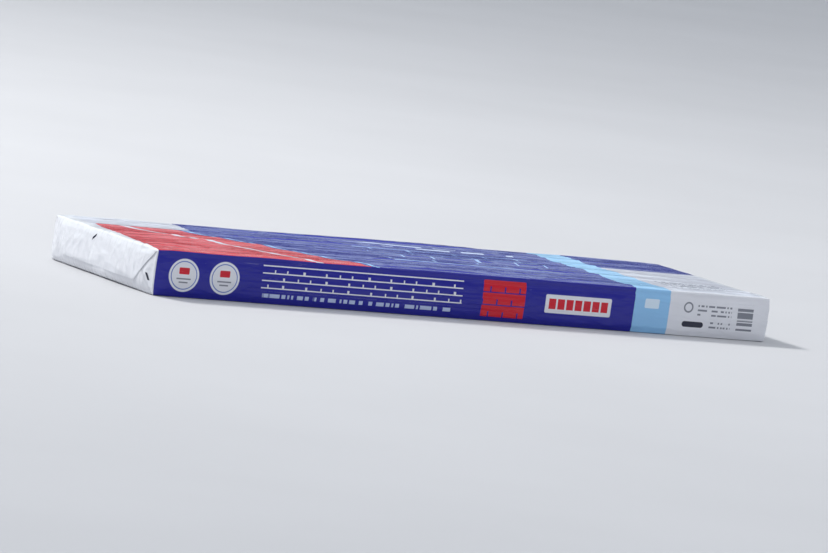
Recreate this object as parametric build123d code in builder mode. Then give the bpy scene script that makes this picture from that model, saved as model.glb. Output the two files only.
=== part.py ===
from build123d import *
import os

os.makedirs("parts", exist_ok=True)

# A wrapped bundle of laminated asphalt shingles, lying flat.
# Millimetres. +X runs along the bundle, +Z is up, and the origin is at the
# middle of the underside.

# ---- one laminated shingle -------------------------------------------------
shingle_length = 1000.0      # metric laminated shingle
shingle_width = 337.0        # butt edge to head edge
sheet_thickness = 1.9        # one layer of mineral-surfaced sheet
backing_width = 165.0        # strip laminated behind the tabs
cutout_depth = 140.0         # from the butt edge, a little under the exposure
cutout_taper = 9.0           # each side of a cut-out leans in by this much

# cut-outs between the tabs: (centre from the left end, width at the butt edge)
cutouts = [(92.0, 84.0), (281.0, 102.0), (468.0, 70.0), (655.0, 112.0), (858.0, 92.0)]

# ---- the stack -------------------------------------------------------------
pair_count = 11              # each pair is one piece turned over and one face up
air_gap = 0.05               # between neighbouring pieces
pair_pitch = 3 * sheet_thickness + 2 * air_gap
stack_height = pair_count * pair_pitch - air_gap

# ---- the film --------------------------------------------------------------
film_thickness = 0.25        # heavier than the real film, so that it is a closed solid
lap_width = 40.0             # underside lap, two layers thick
side_room = 1.5              # film stands this far off the long sides
end_room = 2.0               # and this far off the ends
top_room = 0.025
edge_break = 1.0             # film turns over the long edges with this break
end_break = 1.2              # and over the end edges with this one
fold_thickness = 0.25        # each folded layer on an end
bottom_flap_height = 44.0    # end fold: bottom flap, turned up first
top_flap_height = 50.0       # end fold: top flap, turned down over it
tuck_depth = 62.0            # end fold: side tucks, under both flaps

stack_bottom = 2 * film_thickness
inner_length = shingle_length + 2 * end_room
inner_width = shingle_width + 2 * side_room
inner_bottom = film_thickness
inner_top = stack_bottom + stack_height + top_room
outer_length = inner_length + 2 * film_thickness
outer_width = inner_width + 2 * film_thickness
outer_height = inner_top + film_thickness

half_length = shingle_length / 2
half_width = shingle_width / 2


def tab_outline(turned):
    """Outline of the full sheet with its cut-outs. The butt edge is at the
    front (-Y), or at the back when the piece is turned over about X."""
    side = -1 if turned else 1
    butt = -half_width * side
    root = butt + cutout_depth * side
    points = [(-half_length, half_width * side), (-half_length, butt)]
    for centre, width in cutouts:
        left = -half_length + centre - width / 2
        right = left + width
        points += [(left, butt), (left + cutout_taper, root),
                   (right - cutout_taper, root), (right, butt)]
    points += [(half_length, butt), (half_length, half_width * side)]
    return points


# ---------------------------------------------------------------------------
# shingles: in each pair the lower piece is turned over, with its backing strip
# on top along the back, and the upper piece is face up, with its backing strip
# underneath along the front. The two strips lie side by side in one layer.
# ---------------------------------------------------------------------------
backing_offset = half_width - backing_width / 2

with BuildPart() as shingles:
    for pair in range(pair_count):
        base = stack_bottom + pair * pair_pitch
        # lower piece, turned over
        with BuildSketch(Plane.XY.offset(base)):
            with BuildLine():
                Polyline(*tab_outline(True), close=True)
            make_face()
        extrude(amount=sheet_thickness)
        with BuildSketch(Plane.XY.offset(base + sheet_thickness)):
            with Locations((0, backing_offset)):
                Rectangle(shingle_length, backing_width)
        extrude(amount=sheet_thickness)
        # upper piece, face up
        middle = base + sheet_thickness + air_gap
        with BuildSketch(Plane.XY.offset(middle)):
            with Locations((0, -backing_offset)):
                Rectangle(shingle_length, backing_width)
        extrude(amount=sheet_thickness)
        with BuildSketch(Plane.XY.offset(middle + sheet_thickness)):
            with BuildLine():
                Polyline(*tab_outline(False), close=True)
            make_face()
        extrude(amount=sheet_thickness)

shingles.part.label = "shingles"
export_step(shingles.part, "parts/shingles.step")

# ---------------------------------------------------------------------------
# film_wrap: a closed skin round the whole stack. It is hollow, two layers thick
# along the underside lap, and carries the parcel folds on both ends.
# ---------------------------------------------------------------------------
end_plane = outer_length / 2
flap_half_base = outer_width / 2 - end_break
low_edge = end_break
high_edge = outer_height - end_break

# the room inside: its edges are broken less, so that the film keeps one
# thickness round every edge
skin_step = film_thickness * (2 - 2 ** 0.5)
with BuildPart() as stack_room:
    with BuildSketch(Plane.XY.offset(inner_bottom)):
        Rectangle(inner_length, inner_width)
    extrude(amount=inner_top - inner_bottom)
    chamfer(stack_room.edges().filter_by(Axis.X), length=edge_break - skin_step)
    chamfer(stack_room.faces().sort_by(Axis.X)[-1].edges(), length=end_break - skin_step)
    chamfer(stack_room.faces().sort_by(Axis.X)[0].edges(), length=end_break - skin_step)

with BuildPart() as film_wrap:
    # outer skin with its broken edges
    with BuildSketch(Plane.XY):
        Rectangle(outer_length, outer_width)
    extrude(amount=outer_height)
    chamfer(film_wrap.edges().filter_by(Axis.X), length=edge_break)
    chamfer(film_wrap.faces().sort_by(Axis.X)[-1].edges(), length=end_break)
    chamfer(film_wrap.faces().sort_by(Axis.X)[0].edges(), length=end_break)

    for side in (-1, 1):
        # side tucks: the long faces' overhang, pressed flat on the end first
        with BuildSketch(Plane.YZ.offset(side * end_plane)):
            for back in (-1, 1):
                with BuildLine():
                    Polyline((back * flap_half_base, low_edge),
                             (back * flap_half_base, high_edge),
                             (back * (flap_half_base - tuck_depth), high_edge - tuck_depth / 2.4),
                             (back * (flap_half_base - tuck_depth), low_edge + tuck_depth / 2.4),
                             close=True)
                make_face()
        extrude(amount=side * fold_thickness)
        # bottom flap: a trapezoid with 45 degree sides, turned up
        with BuildSketch(Plane.YZ.offset(side * end_plane)):
            with BuildLine():
                Polyline((-flap_half_base, low_edge), (flap_half_base, low_edge),
                         (flap_half_base - bottom_flap_height, low_edge + bottom_flap_height),
                         (-flap_half_base + bottom_flap_height, low_edge + bottom_flap_height),
                         close=True)
            make_face()
        extrude(amount=side * 2 * fold_thickness)
        # top flap: the same shape, turned down over the bottom flap
        with BuildSketch(Plane.YZ.offset(side * end_plane)):
            with BuildLine():
                Polyline((-flap_half_base, high_edge), (flap_half_base, high_edge),
                         (flap_half_base - top_flap_height, high_edge - top_flap_height),
                         (-flap_half_base + top_flap_height, high_edge - top_flap_height),
                         close=True)
            make_face()
        extrude(amount=side * 3 * fold_thickness)

    # hollow for the stack
    add(stack_room.part, mode=Mode.SUBTRACT)

    # second layer of the underside lap, inside
    with BuildSketch(Plane.XY.offset(inner_bottom)):
        Rectangle(inner_length - 2 * end_break, lap_width)
    extrude(amount=film_thickness)

film_wrap.part.label = "film_wrap"
export_step(film_wrap.part, "parts/film_wrap.step")

print("stack height", round(stack_height, 3))
print("outer", round(outer_length + 6 * fold_thickness, 3), outer_width, round(outer_height, 3))
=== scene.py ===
import math

import bpy
import numpy as np
from mathutils import Matrix, Vector


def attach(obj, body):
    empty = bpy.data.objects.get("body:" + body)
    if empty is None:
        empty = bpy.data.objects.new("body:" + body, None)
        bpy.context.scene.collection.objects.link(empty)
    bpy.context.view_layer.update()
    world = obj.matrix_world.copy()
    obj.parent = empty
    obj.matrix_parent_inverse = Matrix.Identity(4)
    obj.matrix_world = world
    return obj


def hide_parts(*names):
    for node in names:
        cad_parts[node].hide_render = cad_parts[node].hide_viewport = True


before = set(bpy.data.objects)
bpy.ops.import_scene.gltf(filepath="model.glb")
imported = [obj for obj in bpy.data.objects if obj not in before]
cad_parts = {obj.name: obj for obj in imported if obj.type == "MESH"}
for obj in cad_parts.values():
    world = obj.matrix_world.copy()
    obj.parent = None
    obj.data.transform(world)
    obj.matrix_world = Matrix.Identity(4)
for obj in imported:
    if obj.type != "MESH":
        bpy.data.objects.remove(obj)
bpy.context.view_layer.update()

# ============================================================================
# A film-wrapped bundle of laminated shingles. The film is one rectangular
# sheet, lapped under the bundle and folded in at both ends like a parcel.
# Everything about the sheet is worked out on its own flat layout: u runs along
# the bundle, v runs round it. Lengths in this part are in millimetres.
# ============================================================================
WIDTH = 340.5           # outside of the wrap, front to back
HEIGHT = 64.5
END = 502.2             # plane against which the ends are folded
R_LONG = 2.6            # the film's turn over the long edges
R_END = 2.6             # and over the end edges
LAP = 40.0
FILM = 0.12             # thickness of the modelled film

# distances from an edge that both the fold rows and the fold columns use, so
# that the 45 degree creases run through mesh points
STEPS = [0.0, 0.4, 1.0, 1.8, 2.6] + [2.6 + 2.5 * k for k in range(1, 20)]
FOLD = STEPS[-1]

HALF_W = WIDTH / 2
V_BACK = HALF_W + LAP / 2          # v at the back bottom edge
V_TOP = V_BACK + HEIGHT            # v at the back top edge
V_FRONT = V_TOP + WIDTH            # v at the front top edge
V_UNDER = V_FRONT + HEIGHT         # v at the front bottom edge
V_END = V_UNDER + HALF_W + LAP / 2
U_FLAT = END - R_END
U_END = U_FLAT + R_END * math.pi / 2 + FOLD - R_END


# ---------------------------------------------------------------------------
# noise
# ---------------------------------------------------------------------------
def gradient_noise(x, y, seed):
    rng = np.random.default_rng(seed)
    angle = rng.random((128, 128)) * 2 * np.pi
    gx, gy = np.cos(angle), np.sin(angle)
    x0, y0 = np.floor(x).astype(int), np.floor(y).astype(int)
    fx, fy = x - x0, y - y0
    sx = fx * fx * fx * (fx * (fx * 6 - 15) + 10)
    sy = fy * fy * fy * (fy * (fy * 6 - 15) + 10)

    def corner(i, j):
        a, b = (x0 + i) % 128, (y0 + j) % 128
        return gx[a, b] * (fx - i) + gy[a, b] * (fy - j)

    low = corner(0, 0) * (1 - sx) + corner(1, 0) * sx
    high = corner(0, 1) * (1 - sx) + corner(1, 1) * sx
    return (low * (1 - sy) + high * sy) * 1.5


def fractal(x, y, seed, octaves=3, gain=0.5):
    total, size, freq = 0.0, 1.0, 1.0
    for k in range(octaves):
        total = total + size * gradient_noise(x * freq + 13.7 * k, y * freq - 7.3 * k, seed + k)
        size *= gain
        freq *= 2.03
    return total


def smooth(low, high, x):
    t = np.clip((x - low) / (high - low), 0, 1)
    return t * t * (3 - 2 * t)


# ---------------------------------------------------------------------------
# the sheet's columns: where each lies along the bundle, and how far it has
# been folded in past the end edge
# ---------------------------------------------------------------------------
def columns():
    near = [0.0, 3.0, 6.0, 9.5, 13.5, 18.0, 23.0, 29.0, 36.0, 44.0, 53.0]
    count = 76
    middle = np.linspace(-U_FLAT + near[-1], U_FLAT - near[-1], count)
    flat = np.concatenate([-U_FLAT + np.array(near[:-1]), middle, (U_FLAT - np.array(near[:-1]))[::-1]])
    x, depth, u = list(flat), [0.0] * len(flat), list(flat)
    right_x, right_u = [], []
    for d in STEPS[1:]:
        if d <= R_END:
            turn = math.acos(1 - d / R_END)
            right_x.append(U_FLAT + R_END * math.sin(turn))
            right_u.append(U_FLAT + R_END * turn)
        else:
            right_x.append(END)
            right_u.append(U_FLAT + R_END * math.pi / 2 + d - R_END)
    deep = STEPS[1:]
    x = [-a for a in right_x[::-1]] + x + right_x
    u = [-a for a in right_u[::-1]] + u + right_u
    depth = deep[::-1] + depth + deep
    return np.array(x), np.array(depth), np.array(u)


def spread(start, stop, pitch):
    """Evenly spaced values between two ends, both left out."""
    n = max(1, int(round((stop - start) / pitch)))
    return list(np.linspace(start, stop, n + 1)[1:-1])


def rows():
    """Each row: wall, distance along the wall from its first corner, v."""
    out = []
    short = STEPS[:5]
    # underside, inner end of the lap to the back edge
    long_under = HALF_W + LAP / 2
    s = [0.0] + spread(0, LAP, 6.0) + [LAP] + spread(LAP, long_under - FOLD, 20.0)
    s += [long_under - h for h in STEPS[::-1]]
    out += [("under_in", a, a) for a in s[:-1]]
    # back
    s = short + spread(short[-1], HEIGHT - short[-1], 1.5) + [HEIGHT - h for h in short[::-1]]
    out += [("back", a, V_BACK + a) for a in s[:-1]]
    # top, from the back edge to the front edge
    s = STEPS + spread(FOLD, WIDTH - FOLD, 2.2) + [WIDTH - h for h in STEPS[::-1]]
    out += [("top", a, V_TOP + a) for a in s[:-1]]
    # front
    s = short + spread(short[-1], HEIGHT - short[-1], 1.5) + [HEIGHT - h for h in short[::-1]]
    out += [("front", a, V_FRONT + a) for a in s[:-1]]
    # underside, front edge to the outer end of the lap
    s = STEPS + spread(FOLD, long_under - LAP, 20.0) + [long_under - LAP]
    s += spread(long_under - LAP, long_under, 6.0) + [long_under]
    out += [("under_out", a, V_UNDER + a) for a in s]
    return out


def fold_sheet():
    col_x, col_depth, col_u = columns()
    row_list = rows()
    nu, nv = len(col_x), len(row_list)
    side = np.sign(col_x)
    Y = np.zeros((nv, nu))
    Z = np.zeros((nv, nu))
    lift = np.zeros((nv, nu))       # outward offset of each folded layer
    layer = np.zeros((nv, nu), int)
    edge = np.zeros((nv, nu))       # distance to the nearest long edge
    D = np.broadcast_to(col_depth, (nv, nu)).copy()

    # how far each layer of the end fold stands off the end plane
    tuck, low_ear, low_flap, top_ear, top_flap = 0.12, 0.42, 0.75, 1.10, 1.45
    fade = 1 - smooth(0.0, 7.0, col_depth)

    for j, (wall, s, v) in enumerate(row_list):
        if wall in ("under_in", "under_out", "top"):
            top = wall == "top"
            y = {"top": HALF_W - s, "under_in": -LAP / 2 + s, "under_out": -HALF_W + s}[wall]
            h = HALF_W - abs(y)
            base = HEIGHT if top else 0.0
            inward = -1.0 if top else 1.0
            on_flap = h >= col_depth - 1e-9
            Y[j] = np.where(on_flap, y, math.copysign(1, y) * (HALF_W - col_depth))
            Z[j] = base + inward * np.where(on_flap, col_depth, h)
            flap, ear = (top_flap, top_ear) if top else (low_flap, low_ear)
            mid = (flap + ear) / 2
            q = h - col_depth
            level = np.where(q >= 0, mid + (flap - mid) * np.tanh(q / 1.6), mid + (ear - mid) * np.tanh(-q / 1.6))
            hair = (ear + tuck) / 2
            level = np.where(q < 0, level + (hair - level) * np.exp(-h / 1.2), level)
            if wall == "under_out":
                level = level + 0.3 * smooth(-LAP / 2 - 12, -LAP / 2 - 2, y)
            lift[j] = level
            layer[j] = np.where(on_flap, 4 if top else 2, 3 if top else 1)
            edge[j] = h
            normal, toward = (0.0, 1.0 if top else -1.0), (math.copysign(1, y), 0.0)
        else:
            sign = 1.0 if wall == "back" else -1.0
            z = s if wall == "back" else HEIGHT - s
            Y[j] = sign * (HALF_W - col_depth)
            Z[j] = z
            near_top, near_low = HEIGHT - z, z
            level = np.full(nu, tuck)
            level += ((top_ear + tuck) / 2 - tuck) * math.exp(-near_top / 1.2)
            level += ((low_ear + tuck) / 2 - tuck) * math.exp(-near_low / 1.2)
            lift[j] = level
            h = min(near_top, near_low)
            edge[j] = h
            normal, toward = (sign, 0.0), (0.0, 1.0 if near_top < near_low else -1.0)
        if h < R_LONG:
            a = math.atan(1 - h / R_LONG)
            along, out = R_LONG * (math.sin(a) - math.tan(a)), -R_LONG * (1 - math.cos(a))
            Y[j] += fade * (toward[0] * along + normal[0] * out)
            Z[j] += fade * (toward[1] * along + normal[1] * out)

    # all layers at a place close up together towards the rim of the end, and the
    # lower ones sink a little there, so that none comes through the one over it
    rim = np.minimum(np.minimum(Z, HEIGHT - Z), HALF_W - np.abs(Y))
    close = smooth(0.5, 8.0, rim)
    hidden = np.where(lift > top_ear + 0.02, 0.0, 0.22 + 0.16 * (top_ear - lift) / top_ear)
    upper = np.array([r[0] == "top" for r in row_list])[:, None]
    hidden = np.where(upper, hidden, np.where(lift > low_ear + 0.12, 0.10, 0.34))
    # ears and side panels keep inside the flaps' own turn over the end edges
    X = np.broadcast_to(col_x, (nv, nu)).copy()
    off = np.clip(np.minimum(Z, HEIGHT - Z), 0.0, R_END)
    inside_turn = END - R_END + np.sqrt(np.maximum(R_END ** 2 - (R_END - off) ** 2, 0.0))
    X = np.where(D > 0, side * np.minimum(np.abs(X), inside_turn), X)
    X += side * (lift * close * smooth(0.3, 3.0, D) - hidden * (1 - close) * smooth(0.6, 5.0, D))
    u = np.broadcast_to(col_u, (nv, nu)).copy()
    v = np.broadcast_to(np.array([r[2] for r in row_list])[:, None], (nv, nu)).copy()
    walls = [r[0] for r in row_list]
    return X, Y, Z, u, v, D, edge, layer, walls


def normals_of(P):
    """Unit normals of a grid of points, outward where the sheet isn't turned over."""
    du = np.gradient(P, axis=1)
    dv = np.gradient(P, axis=0)
    n = np.cross(dv, du)
    return n / np.maximum(np.linalg.norm(n, axis=2, keepdims=True), 1e-9)


def ridges(x, y, segments):
    """Sum of straight creases. Each segment: where its middle is, its angle,
    half its length, how wide its flanks are, and how high its crest stands."""
    h = np.zeros_like(x)
    for cx, cy, angle, reach, flank, height in segments:
        dx, dy = x - cx, y - cy
        along = dx * math.cos(angle) + dy * math.sin(angle)
        across = -dx * math.sin(angle) + dy * math.cos(angle)
        across = across + 0.06 * along * along / max(reach, 1.0) * math.sin(7.0 * cx + cy)
        window = np.clip(1 - (along / reach) ** 2, 0, 1) ** 1.5
        h += height * window * np.exp(-np.sqrt((across / flank) ** 2 + 0.12) + 0.346)
    return h


def corner_fan(cy, cz, seed, count, low, high, far):
    """Creases that run in from one corner of an end."""
    rng = np.random.default_rng(seed)
    out = []
    for k in range(count):
        t = (k + 0.5 + rng.uniform(-0.32, 0.32)) / count
        angle = low + (high - low) * t
        reach = far * rng.uniform(0.45, 1.0)
        start = rng.uniform(5.0, 12.0)
        mid = start + reach
        y = cy - math.copysign(1, cy) * mid * math.cos(angle)
        z = cz + (-1 if cz > 1 else 1) * mid * math.sin(angle)
        turn = math.atan2((-1 if cz > 1 else 1) * math.sin(angle), -math.copysign(1, cy) * math.cos(angle))
        out.append((y, z, turn, reach, rng.uniform(2.2, 3.4), rng.uniform(0.7, 1.6)))
    return out


def slanting(rng, count, y_range, z_range, angle, spread_of, reach, flank, height):
    """A run of nearly parallel creases."""
    out = []
    for k in range(count):
        t = (k + 0.5 + rng.uniform(-0.3, 0.3)) / count
        out.append((y_range[0] + (y_range[1] - y_range[0]) * t, rng.uniform(*z_range), angle + rng.normal(0, spread_of),
                    rng.uniform(*reach), rng.uniform(*flank), rng.uniform(*height)))
    return out


def end_relief(Y, Z, seed, lean):
    """How far the folded end stands out at a place on it: a soft pillow with
    creases that run in from its corners, flat facets between them, and dents."""
    rng = np.random.default_rng(seed)
    across = np.clip(np.abs(Y) / HALF_W, 0, 1)
    up = np.clip(Z / HEIGHT, 0, 1)
    pillow = (1 - 0.80 * across ** 5) * np.sin(np.pi * up) ** 0.7
    # fuller at the bottom of one end and at the top of the other
    pillow = pillow * (1 + lean * (2 * up - 1))
    h = 7.2 * pillow * (1 + 0.40 * gradient_noise(Y / 110, Z / 90 + 5, seed))
    segments = []
    segments += corner_fan(-HALF_W, HEIGHT, seed + 1, 9, 0.12, 1.15, 40.0)
    segments += corner_fan(HALF_W, HEIGHT, seed + 2, 8, 0.15, 1.10, 38.0)
    segments += corner_fan(-HALF_W, 0.0, seed + 3, 4, 0.15, 0.95, 24.0)
    segments += corner_fan(HALF_W, 0.0, seed + 4, 4, 0.15, 0.95, 24.0)
    segments += slanting(rng, 8, (-150, -55), (24, 46), 0.86, 0.10, (16, 30), (2.2, 3.2), (0.5, 1.2))
    segments += slanting(rng, 7, (60, 150), (24, 46), -0.80, 0.12, (14, 28), (2.2, 3.2), (0.5, 1.1))
    segments += slanting(rng, 9, (-70, 70), (16, 54), 0.35, 0.55, (12, 34), (2.2, 3.6), (0.3, 1.0))
    segments += slanting(rng, 6, (-110, 110), (16, 54), 0.0, 0.10, (30, 80), (2.6, 4.4), (0.4, 0.9))
    h += ridges(Y, Z, segments) * (0.15 + 0.85 * pillow ** 0.5)
    h += 0.9 * fractal(Y / 40, Z / 24, seed + 21, 2) * pillow ** 0.6
    return h


def long_creases(seed, count, x_half, y_low, y_high, reach, flank, height, tilt):
    """Creases that run mostly along the bundle."""
    rng = np.random.default_rng(seed)
    out = []
    for k in range(count):
        out.append((rng.uniform(-x_half, x_half), rng.uniform(y_low, y_high), rng.normal(0, tilt),
                    rng.uniform(*reach), rng.uniform(*flank), rng.uniform(*height)))
    return out


TOP_CREASES = (long_creases(11, 60, 470, -160, 160, (50, 220), (2.4, 3.8), (0.45, 1.25), 0.045)
               + long_creases(12, 40, 470, -160, 160, (20, 70), (2.4, 3.8), (0.40, 1.00), 0.24)
               + long_creases(13, 24, 380, -148, 150, (150, 400), (5.0, 11.0), (0.8, 1.9), 0.022)
               + long_creases(14, 16, 470, -168, -150, (30, 110), (2.4, 3.2), (0.30, 0.70), 0.015)
               + long_creases(15, 14, 470, 150, 168, (30, 110), (2.4, 3.2), (0.30, 0.70), 0.015))
FRONT_CREASES = (long_creases(21, 30, 460, 6, 60, (30, 130), (1.9, 2.8), (0.16, 0.40), 0.05)
                 + long_creases(22, 26, 480, 8, 58, (8, 30), (1.9, 3.0), (0.16, 0.44), 0.6))
BACK_CREASES = (long_creases(31, 30, 460, 6, 60, (30, 130), (1.9, 2.8), (0.16, 0.40), 0.05)
                + long_creases(32, 26, 480, 8, 58, (8, 30), (1.9, 3.0), (0.16, 0.44), 0.6))


def pulled_corners(seed, y_edges, count, spread_of, length, height):
    """Short creases on a wall where the film is drawn round the ends."""
    rng = np.random.default_rng(seed)
    out = []
    for side in (-1, 1):
        for y0 in y_edges:
            for k in range(count):
                angle = rng.uniform(*spread_of) * (1 if y0 < 0.5 * sum(y_edges) else -1) * -side
                reach = rng.uniform(*length)
                x = side * (END - 6 - reach * math.cos(angle))
                y = y0 + (1 if y0 < 0.5 * sum(y_edges) else -1) * (rng.uniform(3, 14) + reach * abs(math.sin(angle)))
                out.append((x, y, angle, reach, rng.uniform(2.4, 3.6), rng.uniform(*height)))
    return out


TOP_CREASES += pulled_corners(41, (-HALF_W, HALF_W), 5, (0.15, 0.9), (14, 44), (0.25, 0.6))
FRONT_CREASES += pulled_corners(42, (0.0, HEIGHT), 3, (0.1, 0.7), (8, 22), (0.2, 0.45))
BACK_CREASES += pulled_corners(43, (0.0, HEIGHT), 3, (0.1, 0.7), (8, 22), (0.2, 0.45))


def edge_roll(x, y):
    """How loosely the film lies over a top long edge, from place to place."""
    return np.clip(0.75 + 0.9 * gradient_noise(x / 95, np.sign(y) * 3.0 + 2.5, 64), 0.1, 1.25) * smooth(0, 25, END - np.abs(x))


def wrinkle(X, Y, Z, edge, walls):
    """Displacement of the sleeve along its own normal."""
    h = np.zeros_like(X)
    names = np.array(walls)
    sel = names == "top"
    x, y, d = X[sel], Y[sel], edge[sel]
    calm = smooth(0, 18, d)
    t = 0.55 * calm * (0.8 + gradient_noise(x / 240, y / 130, 3))
    t += 0.45 * calm * (0.6 + gradient_noise(x / 300, y / 34, 5))
    # loose rolls of film beside the two long edges
    loose = np.clip(0.35 + gradient_noise(x / 120, np.sign(y) * 5.0 + 0.5, 7), 0, 1) + 0.3 * gradient_noise(x / 34, np.sign(y) * 3.0 + 0.5, 8)
    t += 1.7 * loose * np.exp(-((d - 13.0) / 8.5) ** 2)
    loose = np.clip(0.10 + gradient_noise(x / 170, np.sign(y) * 7.0 + 0.5, 9), 0, 1)
    t += 1.8 * loose * np.exp(-((d - 34.0 - 8 * gradient_noise(x / 260, y * 0 + 0.5, 10)) / 11.0) ** 2)
    t += ridges(x, y, TOP_CREASES) * (0.35 + 0.65 * calm)
    h[sel] = t
    for name, creases, seed in (("front", FRONT_CREASES, 60), ("back", BACK_CREASES, 80)):
        sel = names == name
        x, z, d = X[sel], Z[sel], edge[sel]
        calm = smooth(0, 9, d)
        t = 0.50 * calm * (0.6 + gradient_noise(x / 190, z / 60 + 2, seed))
        # the stack's layers press through, more in some places than others
        press = 0.03 + 0.20 * np.clip(0.25 + gradient_noise(x / 130, z / 45, seed + 1), 0, 1)
        t += press * calm * np.cos(2 * np.pi * z / 6.02 + 0.8 * gradient_noise(x / 90, z / 22, seed + 2))
        t += ridges(x, z, creases) * calm
        loose = np.clip(0.25 + gradient_noise(x / 140, z * 0 + 0.5, seed + 3), 0, 1)
        t += 0.8 * loose * np.exp(-((HEIGHT - z - 14.0) / 6.0) ** 2)
        # slack film bellies out a little, less towards the ends
        belly = np.clip(1 + 0.8 * gradient_noise(x / 210, z * 0 + 4.5, seed + 5), 0.3, 1.8)
        t += 1.7 * belly * np.sin(np.pi * np.clip(z / HEIGHT, 0, 1)) ** 1.3 * (0.3 + 0.7 * smooth(0, 60, END - np.abs(x)))
        # and draws in under the roll along the top edge
        t -= 1.1 * edge_roll(x, Y[sel]) * np.exp(-((HEIGHT - z - 6.6) / 2.6) ** 2)
        h[sel] = t
    # the long edges wander a little
    for name in ("top", "front", "back"):
        sel = names == name
        x, d, y = X[sel], edge[sel], Y[sel]
        h[sel] += 0.75 * np.exp(-d / 7.0) * (0.5 + gradient_noise(x / 80, np.sign(y) * 3.0 + 0.5, 90))
        h[sel] += 1.3 * edge_roll(x, y) * np.exp(-(d / 3.2) ** 2)
    return h


def film_points():
    X, Y, Z, u, v, D, edge, layer, walls = fold_sheet()
    P = np.stack([X, Y, Z], axis=2)
    n = normals_of(P)
    body = 1 - smooth(0.2, 5.0, D)
    h = wrinkle(X, Y, Z, edge, walls)
    low = np.array([w in ("front", "back") for w in walls])[:, None]
    h = h * np.where(low, smooth(0, 9, Z), 1.0)
    # the walls curl in a little just above the floor
    h = h - np.where(low, 1.1 * np.exp(-((Z - 2.0) / 4.0) ** 2) * smooth(0, 30, END - np.abs(X)), 0.0)
    # the ends puff out; the same relief moves every layer at a place together
    puff = np.zeros_like(X)
    for s, seed, lean in ((-1, 200, -0.35), (1, 300, 0.35)):
        here = np.sign(X) == s
        puff = np.where(here, end_relief(Y, Z, seed, lean), puff)
    near = 1 - smooth(0.0, 14.0, END - np.abs(X))
    P = P + n * (h * body)[:, :, None]
    P[:, :, 0] += np.sign(X) * puff * near
    # loose edges of the flaps lift in places
    free = smooth(FOLD - 13, FOLD, D)
    wave = np.clip(0.35 + gradient_noise(Y / 38, Z * 0 + 2 * layer, 400), 0, 1)
    P[:, :, 0] += np.sign(X) * free * wave * np.where(layer == 4, 0.55, np.where(layer == 2, 0.1, 0.0))

    # underside: the outer layer lies on the floor, the inner layer on top of it
    # as far as the lap goes, and then comes down to the floor
    for j, wall in enumerate(walls):
        if wall.startswith("under"):
            on_floor = D[j] < 3.0
            y = Y[j]
            if wall == "under_in":
                rise = 0.32 * (1 - smooth(LAP / 2 - 2, LAP / 2 + 9, y)) + 0.02
            else:
                rise = 0.02
            P[j, :, 2] = np.where(on_floor & (edge[j] > R_LONG), Z[j] + rise + 0.10, P[j, :, 2])
    P[:, :, 2] = np.maximum(P[:, :, 2], 0.12)
    return P, u, v, D, edge, layer, walls


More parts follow.
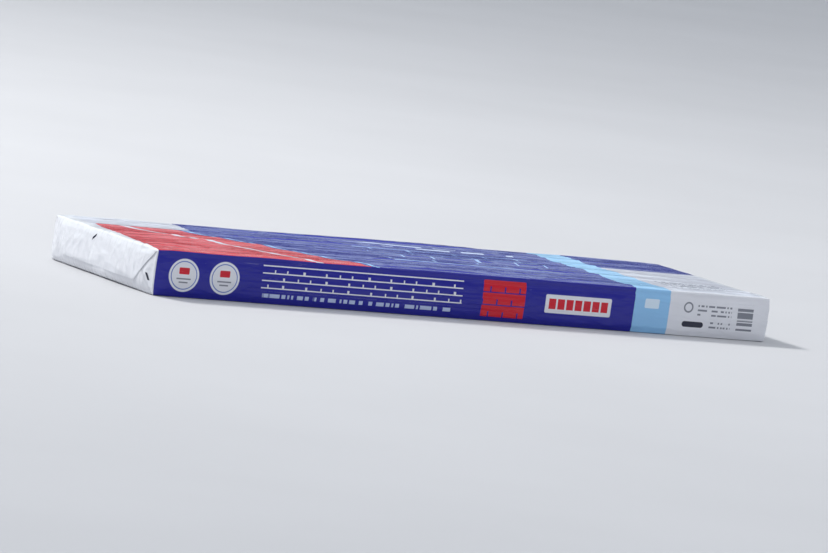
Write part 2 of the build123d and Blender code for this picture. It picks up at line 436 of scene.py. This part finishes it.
def film_object():
    P, u, v, D, edge, layer, walls = film_points()
    nv, nu = P.shape[:2]
    n = normals_of(P)
    # the modelled thickness runs out at the eight corners, where all layers meet
    to_plane = np.minimum(P[:, :, 2], HEIGHT - P[:, :, 2])
    to_corner = np.hypot(np.maximum(to_plane, 0), HALF_W - np.abs(P[:, :, 1]))
    thin = np.where(np.abs(P[:, :, 0]) > END - 9, 0.12 + 0.88 * smooth(2.5, 9.0, to_corner), 1.0)
    inner = P - n * (FILM * thin)[:, :, None]
    outer_co = P.reshape(-1, 3)
    inner_co = inner.reshape(-1, 3)
    count = nv * nu
    co = np.concatenate([outer_co, inner_co]) * 0.001

    index = np.arange(count).reshape(nv, nu)
    a, b, c, d = index[:-1, :-1], index[:-1, 1:], index[1:, 1:], index[1:, :-1]
    # every cell is cut into two triangles, the same way on both sides of the film.
    # Beside a 45 degree crease the cut runs along the crease.
    flat_wall = ~np.isin(np.array(walls), ["front", "back"])[:-1, None]
    on = np.abs(edge - D) < 1e-6
    folded = (D[:-1, :-1] > 0) | (D[:-1, 1:] > 0)
    near_crease = folded & flat_wall & (np.abs(edge[:-1, :-1] - D[:-1, :-1]) < 3.2)
    other_way = near_crease & ~(on[:-1, :-1] | on[1:, 1:])
    one = a, d, np.where(other_way, b, c)
    two = np.where(other_way, d, a), c, b
    faces = np.concatenate([np.stack(one, axis=2).reshape(-1, 3), np.stack(two, axis=2).reshape(-1, 3)])
    outward = faces
    inward = faces[:, ::-1] + count
    ring = list(index[0, :]) + list(index[1:, -1]) + list(index[-1, :-1][::-1]) + list(index[1:-1, 0][::-1])
    ring = np.array(ring)
    after = np.roll(ring, -1)
    rim = np.concatenate([np.stack([ring, after, after + count], axis=1), np.stack([ring, after + count, ring + count], axis=1)])
    all_faces = np.concatenate([outward, inward, rim])
    mesh = bpy.data.meshes.new("film_wrapper")
    mesh.from_pydata(co.tolist(), [], all_faces.tolist())
    mesh.update()

    # folds laid flat and the sheet's own edges are sharp
    pairs = np.zeros(len(mesh.edges) * 2, np.int32)
    mesh.edges.foreach_get("vertices", pairs)
    pairs = pairs.reshape(-1, 2)
    row, col = (pairs % count) // nu, (pairs % count) % nu
    crease_point = on & (D > 4.0) & (edge > 4.0) & ~np.isin(np.array(walls), ["front", "back"])[:, None]
    crease = crease_point[row[:, 0], col[:, 0]] & crease_point[row[:, 1], col[:, 1]]
    crease &= (row[:, 0] != row[:, 1]) & (col[:, 0] != col[:, 1])
    # the ears' own fold, where a side panel turns over towards the ear
    turn = np.zeros((nv, nu), bool)
    for j in range(1, nv):
        if walls[j] != walls[j - 1]:
            turn[j] = D[j] > 9.0
    crease |= turn[row[:, 0], col[:, 0]] & turn[row[:, 1], col[:, 1]] & (row[:, 0] == row[:, 1])
    border = (row == 0) | (row == nv - 1) | (col == 0) | (col == nu - 1)
    side_line = border.all(axis=1) & ((row[:, 0] == row[:, 1]) | (col[:, 0] == col[:, 1])) & ((pairs[:, 0] < count) == (pairs[:, 1] < count))
    mesh.edges.foreach_set("use_edge_sharp", crease | side_line)
    mesh.update()

    # the print's coordinates: millimetres on the flat sheet, over 1200
    uv = mesh.uv_layers.new(name="film")
    bake = mesh.uv_layers.new(name="OFBake")
    loops = np.zeros(len(mesh.loops), np.int32)
    mesh.loops.foreach_get("vertex_index", loops)
    flat_u = np.tile(u.reshape(-1), 2)
    flat_v = np.tile(v.reshape(-1), 2)
    inside = loops >= count
    film_uv = np.stack([(flat_u[loops] + U_END) / 1200.0, flat_v[loops] / 1200.0], axis=1)
    uv.data.foreach_set("uv", film_uv.astype(np.float32).reshape(-1))
    loop_face = np.zeros(len(mesh.loops), np.int32)
    start = np.zeros(len(mesh.polygons), np.int32)
    total = np.zeros(len(mesh.polygons), np.int32)
    mesh.polygons.foreach_get("loop_start", start)
    mesh.polygons.foreach_get("loop_total", total)
    loop_face[:] = np.repeat(np.arange(len(start)), total)
    n_out = len(outward)
    side_in = loop_face >= n_out
    bu = 0.006 + 0.988 * (flat_u[loops] + U_END) / (2 * U_END)
    bv = 0.006 + 0.930 * flat_v[loops] / V_END
    bv = np.where(side_in, 0.950 + 0.040 * flat_v[loops] / V_END, bv)
    is_rim = loop_face >= 2 * n_out
    bv = np.where(is_rim, 0.993 + 0.004 * inside, bv)
    bake.data.foreach_set("uv", np.stack([bu, bv], axis=1).astype(np.float32).reshape(-1))
    mesh.uv_layers.active = uv
    uv.active_render = True

    for p in mesh.polygons:
        p.use_smooth = True
    slots = np.zeros(len(mesh.polygons), np.int32)
    slots[n_out:] = 1
    mesh.polygons.foreach_set("material_index", slots)
    obj = bpy.data.objects.new("film_wrapper", mesh)
    bpy.context.scene.collection.objects.link(obj)
    return obj


# ============================================================================
# materials
# ============================================================================
def srgb(r, g, b):
    def lin(c):
        c /= 255.0
        return c / 12.92 if c <= 0.04045 else ((c + 0.055) / 1.055) ** 2.4
    return (lin(r), lin(g), lin(b), 1.0)


class Tree:
    """Short calls for a material's nodes."""

    def __init__(self, name):
        self.material = bpy.data.materials.new(name)
        self.material.use_nodes = True
        self.tree = self.material.node_tree
        self.tree.nodes.clear()
        self.out = self.tree.nodes.new("ShaderNodeOutputMaterial")
        self.shader = self.tree.nodes.new("ShaderNodeBsdfPrincipled")
        self.link(self.shader.outputs[0], self.out.inputs[0])

    def link(self, a, b):
        self.tree.links.new(a, b)

    def put(self, socket, value):
        if isinstance(value, bpy.types.NodeSocket):
            self.link(value, socket)
        else:
            socket.default_value = value

    def math(self, op, a, b=None, c=None, clamp=False):
        n = self.tree.nodes.new("ShaderNodeMath")
        n.operation = op
        n.use_clamp = clamp
        self.put(n.inputs[0], a)
        if b is not None:
            self.put(n.inputs[1], b)
        if c is not None:
            self.put(n.inputs[2], c)
        return n.outputs[0]

    def above(self, x, edge, soft=0.5):
        """1 where x is more than edge, with a soft step."""
        return self.math("MULTIPLY_ADD", x, 1 / soft, 0.5 - edge / soft, clamp=True)

    def below(self, x, edge, soft=0.5):
        return self.math("MULTIPLY_ADD", x, -1 / soft, 0.5 + edge / soft, clamp=True)

    def times(self, *values):
        out = values[0]
        for v in values[1:]:
            out = self.math("MULTIPLY", out, v)
        return out

    def either(self, *values):
        out = values[0]
        for v in values[1:]:
            out = self.math("MAXIMUM", out, v)
        return out

    def span(self, x, low, high, soft=0.5):
        return self.times(self.above(x, low, soft), self.below(x, high, soft))

    def box(self, x, y, x0, x1, y0, y1, soft=0.5):
        return self.times(self.span(x, x0, x1, soft), self.span(y, y0, y1, soft))

    def rounded(self, x, y, x0, x1, y0, y1, r, soft=0.5):
        dx = self.math("MAXIMUM", self.math("SUBTRACT", self.math("ABSOLUTE", self.math("SUBTRACT", x, (x0 + x1) / 2)), (x1 - x0) / 2 - r), 0.0)
        dy = self.math("MAXIMUM", self.math("SUBTRACT", self.math("ABSOLUTE", self.math("SUBTRACT", y, (y0 + y1) / 2)), (y1 - y0) / 2 - r), 0.0)
        far = self.math("SQRT", self.math("ADD", self.math("MULTIPLY", dx, dx), self.math("MULTIPLY", dy, dy)))
        return self.below(far, r, soft)

    def mix(self, mask, under, over):
        n = self.tree.nodes.new("ShaderNodeMix")
        n.data_type = "RGBA"
        n.clamp_factor = True
        self.put(n.inputs[0], mask)
        self.put(n.inputs[6], under)
        self.put(n.inputs[7], over)
        return n.outputs[2]

    def blend_value(self, mask, under, over):
        n = self.tree.nodes.new("ShaderNodeMix")
        n.data_type = "FLOAT"
        self.put(n.inputs[0], mask)
        self.put(n.inputs[2], under)
        self.put(n.inputs[3], over)
        return n.outputs[0]

    def join(self, x, y, z=0.0):
        n = self.tree.nodes.new("ShaderNodeCombineXYZ")
        self.put(n.inputs[0], x)
        self.put(n.inputs[1], y)
        self.put(n.inputs[2], z)
        return n.outputs[0]

    def away(self, point, cx, cy):
        n = self.tree.nodes.new("ShaderNodeVectorMath")
        n.operation = "DISTANCE"
        self.put(n.inputs[0], point)
        n.inputs[1].default_value = (cx, cy, 0.0)
        return n.outputs["Value"]

    def noise(self, vector, scale, detail=2.0, rough=0.5, kind="3D"):
        n = self.tree.nodes.new("ShaderNodeTexNoise")
        n.noise_dimensions = kind
        self.put(n.inputs["Vector"], vector)
        n.inputs["Scale"].default_value = scale
        n.inputs["Detail"].default_value = detail
        n.inputs["Roughness"].default_value = rough
        return n.outputs["Fac"]

    def chance(self, x, y):
        n = self.tree.nodes.new("ShaderNodeTexWhiteNoise")
        n.noise_dimensions = "2D"
        self.put(n.inputs["Vector"], self.join(x, y))
        return n.outputs["Value"]

    def bricks(self, vector, width, height, line, shift=0.5):
        """1 on the joints of a staggered course pattern."""
        n = self.tree.nodes.new("ShaderNodeTexBrick")
        n.offset = shift
        n.offset_frequency = 2
        n.squash = 0.72
        n.squash_frequency = 2
        self.put(n.inputs["Vector"], vector)
        n.inputs["Scale"].default_value = 1.0
        n.inputs["Mortar Size"].default_value = line
        n.inputs["Mortar Smooth"].default_value = 0.25
        n.inputs["Brick Width"].default_value = width
        n.inputs["Row Height"].default_value = height
        return n.outputs["Fac"]

    def courses(self, x, y, x0, y0, pitch, row, line, slot=0.62, shift=0.43, vary=0.0, wave=0.061):
        """1 on the lines of a roof's courses: a line under each course, and
        slots that run part of the way up it, staggered from course to course."""
        yy = self.math("DIVIDE", self.math("SUBTRACT", y, y0), row)
        level = self.math("FLOOR", yy)
        up = self.math("MULTIPLY", self.math("FRACT", yy), row)
        under = self.either(self.below(up, line, 0.35), self.above(up, row - 0.01, 0.35))
        xx = self.math("SUBTRACT", x, x0)
        if vary:
            xx = self.math("ADD", xx, self.math("MULTIPLY", self.math("SINE", self.math("MULTIPLY_ADD", xx, wave, self.math("MULTIPLY", level, 2.4))), vary))
        part = self.math("FRACT", self.math("ADD", self.math("DIVIDE", xx, pitch), self.math("MULTIPLY", level, shift)))
        off = self.math("MULTIPLY", self.math("ABSOLUTE", self.math("SUBTRACT", part, 0.5)), pitch)
        upright = self.times(self.below(off, line * 0.8, 0.35), self.below(up, row * slot, 0.35))
        return self.either(under, upright)

    def offset(self, vector, x, y):
        n = self.tree.nodes.new("ShaderNodeVectorMath")
        n.operation = "ADD"
        self.put(n.inputs[0], vector)
        n.inputs[1].default_value = (x, y, 0.0)
        return n.outputs[0]


BLUE = srgb(27, 29, 146)
SKY = srgb(144, 196, 238)
WHITE = srgb(226, 228, 234)
# the top's white, greyer than WHITE: partly the dark sheets showing through, partly painted shade
TOP_WHITE_SEE_THROUGH_AND_SHADE = srgb(204, 206, 219)
RED = srgb(205, 22, 44)
GREY = srgb(128, 132, 142)
INK = srgb(38, 42, 60)


def bars_of_print(t, x, y, x0, x1, y0, pitch, count, thick, cell, seed, fill=0.62):
    """Rows of plain short bars, as text is stood in for in a layout."""
    row = t.math("FLOOR", t.math("DIVIDE", t.math("SUBTRACT", y, y0), pitch))
    part = t.math("FRACT", t.math("DIVIDE", t.math("SUBTRACT", y, y0), pitch))
    in_row = t.below(part, thick, 0.12)
    col = t.math("FLOOR", t.math("DIVIDE", x, cell))
    keep = t.above(t.math("SUBTRACT", fill, t.chance(t.math("ADD", col, seed), row)), 0.0, 0.02)
    return t.times(t.box(x, y, x0, x1, y0, y0 + pitch * count, 0.4), in_row, keep)


def long_face(t, colour, a, b, on, plan):
    """One long side's print. a runs from its left end, b up from its lower edge."""
    p = t.join(a, b)

    def lay(mask, ink):
        nonlocal colour
        colour = t.mix(t.times(mask, on), colour, ink)

    # a red block cut into three courses of tabs
    x0 = plan["tabs"]
    tabs = t.courses(a, b, x0, 6.4, 24.0, 18.2, 1.5, 0.5, 0.5)
    lay(t.times(t.rounded(a, b, x0, x0 + 70, 7.2, 61.0, 2.5), t.math("SUBTRACT", 1.0, tabs)), RED)
    # courses of tabs in white line
    x0, x1 = plan["courses"]
    line = t.courses(a, b, x0, 23.4, 26.0, 10.6, 1.7, 0.54, 0.43, 6.0)
    lay(t.times(t.box(a, b, x0 - 0.9, x1 + 0.9, 23.3, 56.9), line), WHITE)
    # short plain bars under them
    lay(bars_of_print(t, a, b, x0, x1 - 14, 10.5, 9.0, 1, 0.62, 3.1, 7.0, 0.7), srgb(186, 200, 232))
    # a pale box that holds a row of red tabs
    x0, x1 = plan["box"]
    lay(t.rounded(a, b, x0, x1, 20.0, 47.0, 2.5), WHITE)
    cells = t.bricks(t.offset(p, -x0 - 4.5, -24.5), (x1 - x0 - 9) / 5.0, 18.0, 1.6, 0.0)
    lay(t.times(t.box(a, b, x0 + 5.5, x1 - 5.5, 25.0, 42.0), t.math("SUBTRACT", 1.0, cells)), RED)
    # two pale rounds with a ring and a tab
    for cx in plan["rounds"]:
        far = t.away(p, cx, 33.0)
        lay(t.below(far, 23.5), WHITE)
        lay(t.span(far, 19.0, 20.4, 0.4), srgb(92, 120, 190))
        lay(t.rounded(a, b, cx - 8, cx + 8, 34.5, 44.0, 1.5), RED)
        lay(t.box(a, b, cx - 11, cx + 11, 27.0, 29.0), GREY)
        lay(t.box(a, b, cx - 7, cx + 7, 22.0, 24.0), GREY)
    # a plain white tab shape on the pale band
    cx = plan["band"]
    lay(t.rounded(a, b, cx - 12, cx + 12, 38.0, 52.0, 2.0), srgb(214, 232, 246))
    # the white panel: rows of short bars, a ring, a dark rounded bar, a block of bars
    x0 = plan["panel"]
    lay(t.span(t.away(p, x0 + 8, 44.0), 5.6, 8.0, 0.5), GREY)
    lay(t.rounded(a, b, x0, x0 + 36, 15.0, 23.5, 4.2), INK)
    lay(bars_of_print(t, a, b, x0 + 24, x0 + 82, 33.0, 6.4, 3, 0.42, 2.6, 31.0, 0.66), GREY)
    lay(bars_of_print(t, a, b, x0 + 46, x0 + 82, 15.5, 6.4, 2, 0.42, 2.6, 37.0, 0.60), GREY)
    bar_row = t.math("FLOOR", t.math("DIVIDE", b, 1.5))
    lay(t.times(t.box(a, b, x0 + 92, x0 + 119, 14.0, 54.0), t.above(t.chance(bar_row, 3.0), 0.42, 0.05)), GREY)
    return colour


def film_material():
    t = Tree("printed_film")
    uv = t.tree.nodes.new("ShaderNodeUVMap")
    uv.uv_map = "film"
    split = t.tree.nodes.new("ShaderNodeSeparateXYZ")
    t.link(uv.outputs[0], split.inputs[0])
    # a: millimetres from the left end; v: millimetres round the bundle
    a = t.math("MULTIPLY_ADD", split.outputs[0], 1200.0, -U_END + END)
    v = t.math("MULTIPLY", split.outputs[1], 1200.0)
    length = 2 * END

    on_back = t.below(v, V_TOP, 0.4)
    on_front = t.above(v, V_FRONT, 0.4)
    c = t.math("SUBTRACT", V_FRONT, v)          # from the front edge, on the top
    printed = t.span(v, V_BACK - 1.5, V_UNDER + 1.5, 0.6)

    band0, band1 = 0.773 * length, 0.832 * length
    slant = t.math("MULTIPLY_ADD", t.math("MAXIMUM", c, 0.0), 0.085, 1.2)
    left = t.math("ADD", slant, t.math("MULTIPLY", t.math("GREATER_THAN", c, 262.0), 172.0 - 18.0))
    field = t.above(t.math("SUBTRACT", a, left), 0.0, 0.6)
    # past the pale band: white in front and on the near part of the top, blue at the back
    rear = t.above(c, 218.0, 0.6)
    right_end = t.math("ADD", band1, t.math("MULTIPLY", rear, length - band1 - 3.0))
    field = t.times(field, t.math("LESS_THAN", a, right_end), printed)

    # over the stack the top's white is set greyer than the sides' white: partly the dark sheets showing through the
    # tight film, partly painted shade
    top_see_through_and_shade = t.times(t.span(c, 3.0, WIDTH - 3.0, 5.0), t.span(a, 15.0, length - 9.0, 8.0))
    colour = t.mix(field, t.mix(top_see_through_and_shade, WHITE, TOP_WHITE_SEE_THROUGH_AND_SHADE), BLUE)
    # the pale band goes all the way round
    colour = t.mix(t.times(t.span(a, band0, band1), printed), colour, SKY)

    # ---- top ---------------------------------------------------------------
    on_top = t.times(t.above(c, 0.0, 0.4), t.below(c, WIDTH, 0.4))
    # a red wedge at the left front, its long edge a straight diagonal
    diagonal = t.math("ADD", a, t.math("MULTIPLY", c, 0.74))
    red = t.times(t.below(diagonal, 0.338 * length, 0.6), field, t.above(c, 0.0, 0.4), t.below(c, 262.0, 0.6))
    colour = t.mix(red, colour, RED)
    # a stripe in the red wedge, printed in the top's greyer white, which holds painted shade too
    colour = t.mix(t.times(t.span(diagonal, 0.250 * length, 0.262 * length), red), colour, TOP_WHITE_SEE_THROUGH_AND_SHADE)
    colour = t.mix(t.times(t.span(diagonal, 0.346 * length, 0.352 * length), field, on_top, t.below(c, 262.0, 0.6)), colour, SKY)
    # large courses of tabs in line on the blue of the top
    tp = t.join(a, c)
    flip_c = t.math("SUBTRACT", WIDTH, c)
    big = t.courses(a, flip_c, 430.0, 104.0, 62.0, 34.0, 2.6, 0.54, 0.43, 10.0, 0.03)
    colour = t.mix(t.times(t.box(a, flip_c, 428.0, 722.0, 103.6, 243.0), big, on_top), colour, srgb(148, 180, 230))
    small_bars = bars_of_print(t, a, c, 430.0, 715.0, 262.0, 19.0, 2, 0.30, 19.0, 51.0, 0.74)
    colour = t.mix(t.times(small_bars, on_top), colour, srgb(196, 210, 236))
    top_note = bars_of_print(t, a, c, 862.0, 968.0, 40.0, 9.0, 7, 0.40, 3.4, 71.0, 0.66)
    colour = t.mix(t.times(top_note, on_top), colour, GREY)

    # ---- front and back ----------------------------------------------------
    front_b = t.math("SUBTRACT", V_UNDER + 1.25, v)
    colour = long_face(t, colour, a, front_b, t.times(on_front, t.below(v, V_UNDER, 0.4)), {
        "tabs": 524.0, "courses": (168.0, 490.0), "box": (628.0, 738.0), "rounds": (44.0, 108.0),
        "band": (band0 + band1) / 2, "panel": 860.0})
    back_a = t.math("SUBTRACT", length, a)
    back_b = t.math("SUBTRACT", v, V_BACK - 1.25)
    colour = long_face(t, colour, back_a, back_b, t.times(on_back, t.above(v, V_BACK, 0.4)), {
        "tabs": 560.0, "courses": (232.0, 528.0), "box": (664.0, 774.0), "rounds": (30.0, 90.0),
        "band": length - (band0 + band1) / 2, "panel": 850.0})

    # ---- small dark register marks on the margins ---------------------------
    lean = t.math("MULTIPLY_ADD", v, -0.70, a)      # the ticks lean
    marks = t.either(*[
        t.times(t.span(lean, a0 - 0.70 * v0, a0 - 0.70 * v0 + 4.4, 0.4), t.span(v, v0 - 5.0, v0 + 5.0, 0.4))
        for a0, v0 in ((-12.0, V_TOP + 142), (-16.0, V_FRONT + 40), (length + 7, V_TOP + 222),
                       (length + 14, V_BACK + 30), (478.0, V_END - 12))])
    colour = t.mix(marks, colour, INK)

    # white film lets a little of the dark stack through, and less where it is doubled
    single = t.math("MULTIPLY", t.below(v, V_END - LAP, 0.6), t.above(v, V_UNDER, 0.6))
    single = t.either(single, t.below(v, V_BACK, 0.6))
    colour = t.mix(t.math("MULTIPLY", single, 0.10), colour, srgb(120, 122, 130))

    # ink isn't perfectly even: thin and thick patches, and scuffs where it was carried
    where = t.tree.nodes.new("ShaderNodeTexCoord").outputs["Object"]
    patch = t.noise(where, 14.0, 3.0, 0.55)
    grain = t.noise(where, 900.0, 2.0, 0.6)
    shade = t.tree.nodes.new("ShaderNodeHueSaturation")
    t.link(colour, shade.inputs["Color"])
    t.put(shade.inputs["Value"], t.math("ADD", 0.93, t.math("ADD", t.math("MULTIPLY", patch, 0.10), t.math("MULTIPLY", grain, 0.04))))
    colour = shade.outputs[0]
    scuff = t.noise(t.join(t.math("MULTIPLY", a, 0.006), t.math("MULTIPLY", v, 0.045)), 3.2, 6.0, 0.72, "2D")
    scuffed = t.above(scuff, 0.72, 0.10)
    colour = t.mix(t.times(scuffed, 0.10), colour, srgb(206, 208, 216))
    t.link(colour, t.shader.inputs["Base Color"])

    # gloss: film is smooth, and duller where it is scuffed or finely crinkled
    fine = t.noise(where, 220.0, 3.0, 0.6)
    rough = t.math("ADD", 0.15, t.math("ADD", t.math("MULTIPLY", fine, 0.12), t.math("MULTIPLY", scuffed, 0.20)))
    t.link(rough, t.shader.inputs["Roughness"])
    t.shader.inputs["IOR"].default_value = 1.47
    t.shader.inputs["Specular IOR Level"].default_value = 0.40
    t.shader.inputs["Coat Weight"].default_value = 0.12
    t.shader.inputs["Coat Roughness"].default_value = 0.08

    # bump: soft crinkles of a centimetre or so, stretched along the bundle, and
    # the faint texture of the sheets underneath
    film = t.join(t.math("MULTIPLY", a, 0.001), t.math("MULTIPLY", v, 0.001))
    long_way = t.join(t.math("MULTIPLY", a, 0.00030), t.math("MULTIPLY", v, 0.001))
    crinkle = t.noise(long_way, 60.0, 1.5, 0.45, "2D")
    crest = t.math("SUBTRACT", 1.0, t.math("MULTIPLY", t.math("ABSOLUTE", t.math("SUBTRACT", crinkle, 0.5)), 5.0), clamp=True)
    soft_crest = t.math("POWER", crest, 2.0)
    cross = t.noise(t.offset(film, 3.0, 1.0), 48.0, 2.0, 0.5, "2D")
    micro = t.noise(film, 260.0, 1.0, 0.5, "2D")
    height = t.math("ADD", t.math("MULTIPLY", soft_crest, 0.00075),
                    t.math("ADD", t.math("MULTIPLY", cross, 0.0007), t.math("MULTIPLY", micro, 0.00006)))
    # the sealed lap underneath: two layers of film, pressed together in fine ribs
    rib = t.math("MULTIPLY_ADD", t.math("SINE", t.math("MULTIPLY", a, 2.1)), 0.5, 0.5)
    sealed = t.span(v, V_END - 15.0, V_END - 5.0, 0.6)
    height = t.math("ADD", height, t.times(sealed, rib, 0.00035))
    bump = t.tree.nodes.new("ShaderNodeBump")
    bump.inputs["Strength"].default_value = 0.55
    bump.inputs["Distance"].default_value = 1.0
    t.link(height, bump.inputs["Height"])
    t.link(bump.outputs[0], t.shader.inputs["Normal"])
    return t.material


def inside_material():
    t = Tree("film_inside")
    where = t.tree.nodes.new("ShaderNodeTexCoord").outputs["Object"]
    patch = t.noise(where, 30.0, 4.0, 0.6)
    t.link(t.mix(patch, srgb(206, 208, 214), srgb(226, 227, 231)), t.shader.inputs["Base Color"])
    t.link(t.math("MULTIPLY_ADD", patch, 0.2, 0.35), t.shader.inputs["Roughness"])
    bump = t.tree.nodes.new("ShaderNodeBump")
    bump.inputs["Strength"].default_value = 0.5
    bump.inputs["Distance"].default_value = 0.0005
    t.link(t.noise(where, 160.0, 4.0, 0.6), bump.inputs["Height"])
    t.link(bump.outputs[0], t.shader.inputs["Normal"])
    return t.material


def shingle_material():
    """Mineral granules pressed into dark asphalt: mixed greys and browns."""
    t = Tree("granules")
    where = t.tree.nodes.new("ShaderNodeTexCoord").outputs["Object"]
    cells = t.tree.nodes.new("ShaderNodeTexVoronoi")
    t.link(where, cells.inputs["Vector"])
    cells.inputs["Scale"].default_value = 700.0
    tone = t.tree.nodes.new("ShaderNodeSeparateColor")
    t.link(cells.outputs["Color"], tone.inputs[0])
    ramp = t.tree.nodes.new("ShaderNodeValToRGB")
    ramp.color_ramp.elements[0].color = srgb(38, 36, 35)
    ramp.color_ramp.elements[1].color = srgb(150, 138, 124)
    mid = ramp.color_ramp.elements.new(0.55)
    mid.color = srgb(86, 80, 75)
    t.link(tone.outputs[0], ramp.inputs[0])
    blend = t.noise(where, 9.0, 2.0, 0.5)
    t.link(t.mix(t.math("MULTIPLY", blend, 0.5), ramp.outputs[0], srgb(52, 48, 46)), t.shader.inputs["Base Color"])
    t.shader.inputs["Roughness"].default_value = 0.88
    bump = t.tree.nodes.new("ShaderNodeBump")
    bump.inputs["Strength"].default_value = 0.8
    bump.inputs["Distance"].default_value = 0.0006
    t.link(t.math("SUBTRACT", 1.0, cells.outputs["Distance"]), bump.inputs["Height"])
    t.link(bump.outputs[0], t.shader.inputs["Normal"])
    return t.material


film = film_object()
film.data.materials.append(film_material())
film.data.materials.append(inside_material())
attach(film, "root")
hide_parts("film_wrap")

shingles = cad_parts["shingles"]
granules = shingle_material()
if shingles.data.materials:
    for k in range(len(shingles.data.materials)):
        shingles.data.materials[k] = granules
else:
    shingles.data.materials.append(granules)


# ============================================================================
# floor, light and camera
# ============================================================================
def floor_object():
    mesh = bpy.data.meshes.new("floor")
    s = 30.0
    mesh.from_pydata([(-s, -s, -0.0003), (s, -s, -0.0003), (s, s, -0.0003), (-s, s, -0.0003)], [], [(0, 1, 2, 3)])
    obj = bpy.data.objects.new("floor", mesh)
    bpy.context.scene.collection.objects.link(obj)
    t = Tree("floor_pale")
    where = t.tree.nodes.new("ShaderNodeTexCoord").outputs["Object"]
    patch = t.noise(where, 1.6, 3.0, 0.5)
    t.link(t.mix(patch, srgb(192, 193, 196), srgb(201, 202, 205)), t.shader.inputs["Base Color"])
    t.shader.inputs["Roughness"].default_value = 0.9
    t.shader.inputs["Specular IOR Level"].default_value = 0.15
    mesh.materials.append(t.material)


def area_light(name, place, aim, size, size_y, power, colour=(1, 1, 1)):
    data = bpy.data.lights.new(name, "AREA")
    data.shape = "RECTANGLE"
    data.size, data.size_y = size, size_y
    data.energy = power
    data.color = colour
    obj = bpy.data.objects.new(name, data)
    obj.location = place
    obj.rotation_euler = (Vector(aim) - Vector(place)).to_track_quat("-Z", "Y").to_euler()
    bpy.context.scene.collection.objects.link(obj)


floor_object()
area_light("key", (-3.0, 3.9, 5.1), (0, 0, 0), 1.2, 1.2, 440, (1.0, 0.985, 0.96))
area_light("front", (1.3, -2.7, 3.6), (0, 0, 0.03), 1.6, 0.5, 13.0, (0.95, 0.97, 1.0))

# soft light from all round, brightest overhead
world = bpy.data.worlds.new("studio")
bpy.context.scene.world = world
world.use_nodes = True
wt = world.node_tree
where = wt.nodes.new("ShaderNodeTexCoord")
parts = wt.nodes.new("ShaderNodeSeparateXYZ")
wt.links.new(where.outputs["Generated"], parts.inputs[0])
rise = wt.nodes.new("ShaderNodeMapRange")
rise.interpolation_type = "SMOOTHSTEP"
rise.inputs["From Min"].default_value = -0.1
rise.inputs["From Max"].default_value = 0.9
rise.inputs["To Min"].default_value = 0.31
rise.inputs["To Max"].default_value = 0.58
wt.links.new(parts.outputs["Z"], rise.inputs["Value"])


def ramp_of(value, low, high):
    node = wt.nodes.new("ShaderNodeMapRange")
    node.interpolation_type = "SMOOTHSTEP"
    node.inputs["From Min"].default_value = low
    node.inputs["From Max"].default_value = high
    wt.links.new(value, node.inputs["Value"])
    return node.outputs[0]


def multiply(one, two, add=None):
    node = wt.nodes.new("ShaderNodeMath")
    node.operation = "MULTIPLY" if add is None else "MULTIPLY_ADD"
    wt.links.new(one, node.inputs[0])
    if isinstance(two, float):
        node.inputs[1].default_value = two
    else:
        wt.links.new(two, node.inputs[1])
    if add is not None:
        wt.links.new(add, node.inputs[2])
    return node.outputs[0]


# a low ring of light all round, which the film's wrinkles reflect from every side,
# two narrow strips overhead for the same from above, and a darker low zone behind
glow = multiply(ramp_of(parts.outputs["Z"], 0.16, 0.24), ramp_of(parts.outputs["Z"], 0.46, 0.36))
strips = multiply(ramp_of(parts.outputs["Y"], 0.03, 0.05), ramp_of(parts.outputs["Y"], 0.11, 0.09))
strips_2 = multiply(ramp_of(parts.outputs["Y"], 0.24, 0.26), ramp_of(parts.outputs["Y"], 0.32, 0.30))
one = wt.nodes.new("ShaderNodeMath")
one.operation = "ADD"
wt.links.new(strips, one.inputs[0])
wt.links.new(strips_2, one.inputs[1])
strips = multiply(one.outputs[0], ramp_of(parts.outputs["Z"], 0.70, 0.78))
dim = multiply(multiply(ramp_of(parts.outputs["Z"], 0.20, 0.12), ramp_of(parts.outputs["Z"], -0.02, 0.0)),
               ramp_of(parts.outputs["Y"], 0.1, 0.5))
total = multiply(strips, 2.8, multiply(glow, 0.62, multiply(dim, -0.31, rise.outputs[0])))
wt.links.new(total, wt.nodes["Background"].inputs[1])
tint = wt.nodes.new("ShaderNodeMix")
tint.data_type = "RGBA"
tint.inputs[6].default_value = (0.90, 0.93, 1.0, 1)
tint.inputs[7].default_value = (0.78, 0.93, 1.0, 1)
wt.links.new(multiply(ramp_of(parts.outputs["Z"], 0.7, 0.4), ramp_of(parts.outputs["Y"], 0.1, 0.5)), tint.inputs[0])
wt.links.new(tint.outputs[2], wt.nodes["Background"].inputs[0])

# the camera stands 28.6 degrees to the left of the front's normal and less than 6
# degrees above the bundle's top, and is rolled so that the bundle runs down to the right
AZIMUTH, ELEVATION, ROLL, DISTANCE = 28.6, 5.8, 7.7, 10.0
az, el = math.radians(AZIMUTH), math.radians(ELEVATION)
toward = Vector((-math.sin(az) * math.cos(el), -math.cos(az) * math.cos(el), math.sin(el)))
target = Vector((0.0, 0.0, 0.036))
cam_data = bpy.data.cameras.new("camera")
camera = bpy.data.objects.new("camera", cam_data)
bpy.context.scene.collection.objects.link(camera)
bpy.context.scene.camera = camera
forward = -toward
right = forward.cross(Vector((0, 0, 1))).normalized()
up = right.cross(forward).normalized()
roll = math.radians(ROLL)
r2 = right * math.cos(roll) + up * math.sin(roll)
u2 = up * math.cos(roll) - right * math.sin(roll)
basis = Matrix((r2, u2, -forward)).transposed()
camera.matrix_world = Matrix.Translation(target + toward * DISTANCE) @ basis.to_4x4()
cam_data.sensor_fit = "HORIZONTAL"
cam_data.sensor_width = 36.0
cam_data.angle = math.radians(6.9)
cam_data.clip_start = 0.1
cam_data.clip_end = 200.0

view = bpy.context.scene.view_settings
view.view_transform = "Standard"
